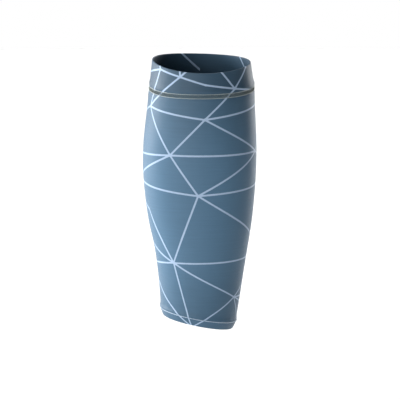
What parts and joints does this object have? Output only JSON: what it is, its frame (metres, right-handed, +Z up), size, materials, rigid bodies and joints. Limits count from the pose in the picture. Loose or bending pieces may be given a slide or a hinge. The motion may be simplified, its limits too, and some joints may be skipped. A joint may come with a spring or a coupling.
{
  "type": "calf compression sleeve",
  "caption": "Printed knit compression sleeve for the calf: a tapering open tube with a deep top hem and a narrow bottom hem, kept in the shape it takes on a leg.",
  "frame": {"origin": "on the leg's axis at the calf's fullest girth, where the sleeve grips the leg", "axes": "+Z up along the leg from ankle to knee, -Y out of the shin side, +Y out of the calf side"},
  "size_m": [0.1191, 0.1254, 0.2859],
  "materials": {
    "printed_knit": "fine smooth warp knit, slate blue printed with pale periwinkle lines, soft sheen",
    "seam_thread": "textured polyester sewing thread, matt"
  },
  "bodies": {
    "root": {"calf_tube": "printed_knit", "top_hem": "printed_knit", "bottom_hem": "printed_knit", "back_seam": "seam_thread"}
  },
  "joints": []
}
